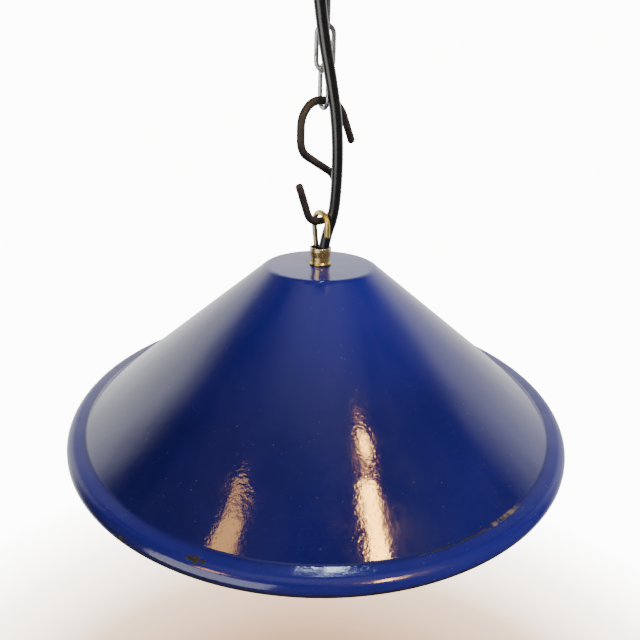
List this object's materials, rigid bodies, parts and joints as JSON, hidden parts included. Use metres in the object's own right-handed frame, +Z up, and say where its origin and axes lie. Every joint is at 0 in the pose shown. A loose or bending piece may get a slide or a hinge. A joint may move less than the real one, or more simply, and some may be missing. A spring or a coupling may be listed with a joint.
{
  "type": "cone pendant lamp",
  "caption": "Blue enamelled cone pendant lamp with a brass loop and ferrule, hung by an S-hook on a short chain beside its black flex.",
  "frame": {"origin": "centre of the ceiling bracket's two screw holes, on the ceiling", "axes": "+Z up into the ceiling, X along the two screw holes, the viewer on -Y"},
  "size_m": [0.3499, 0.35, 0.338],
  "materials": {
    "zinc_steel": "zinc plated",
    "black_paint": "satin",
    "brass": "worn, half polished",
    "white_plastic": "satin",
    "brown_iron": "matt, brown with rust",
    "blue_enamel": "high gloss vitreous enamel, white inside",
    "porcelain": "glazed",
    "brown_core": "gloss",
    "blue_core": "gloss",
    "black_flex": "gloss"
  },
  "bodies": {
    "ceiling": {"ceiling_bracket": "zinc_steel", "ceiling_hook": "zinc_steel", "hook_nut": "zinc_steel", "canopy": "black_paint", "canopy_screws": "brass", "terminal_block": "white_plastic", "terminal_screws": "zinc_steel", "cord_grip": "white_plastic", "grip_screws": "zinc_steel"},
    "link_4": {"chain_link_4": "zinc_steel"},
    "link_3": {"chain_link_3": "zinc_steel"},
    "link_2": {"chain_link_2": "zinc_steel"},
    "link_1": {"chain_link_1": "zinc_steel"},
    "s_hook": {"s_hook": "brown_iron"},
    "lamp": {"brass_hook": "brass", "ferrule": "brass", "nipple": "zinc_steel", "shade": "blue_enamel", "shade_washer": "zinc_steel", "lock_nut": "brass", "holder_cap": "porcelain", "holder_body": "porcelain", "contact_base": "porcelain", "screw_shell": "brass", "centre_contact": "brass", "contact_post": "brass", "wire_terminals": "brass", "wire_screws": "zinc_steel", "live_core": "brown_core", "neutral_core": "blue_core", "flex": "black_flex"}
  },
  "joints": [
    {"name": "hook_to_link_4", "type": "hinge", "parent": "ceiling", "child": "link_4", "pos_m": [0, 0, -0.04635], "axis": [-0.2588, 0.9659, 0], "range_deg": [-10, 10], "deforming": ["flex"]},
    {"name": "link_4_to_link_3", "type": "hinge", "parent": "link_4", "child": "link_3", "pos_m": [0, 0, -0.06655], "axis": [0.9659, 0.2588, 0], "range_deg": [-6, 6]},
    {"name": "link_3_to_link_2", "type": "hinge", "parent": "link_3", "child": "link_2", "pos_m": [0, 0, -0.08755], "axis": [0.2588, -0.9659, 0], "range_deg": [-6, 6]},
    {"name": "link_2_to_link_1", "type": "hinge", "parent": "link_2", "child": "link_1", "pos_m": [0, 0, -0.10855], "axis": [1, 0, 0], "range_deg": [-6, 6]},
    {"name": "link_1_to_s_hook", "type": "hinge", "parent": "link_1", "child": "s_hook", "pos_m": [0, 0, -0.12955], "axis": [0.4695, -0.8829, 0], "range_deg": [-6, 6]},
    {"name": "s_hook_to_lamp", "type": "hinge", "parent": "s_hook", "child": "lamp", "pos_m": [0, 0, -0.1992], "axis": [0.6947, 0.7193, 0], "range_deg": [-15, 15], "deforming": ["flex"]}
  ]
}
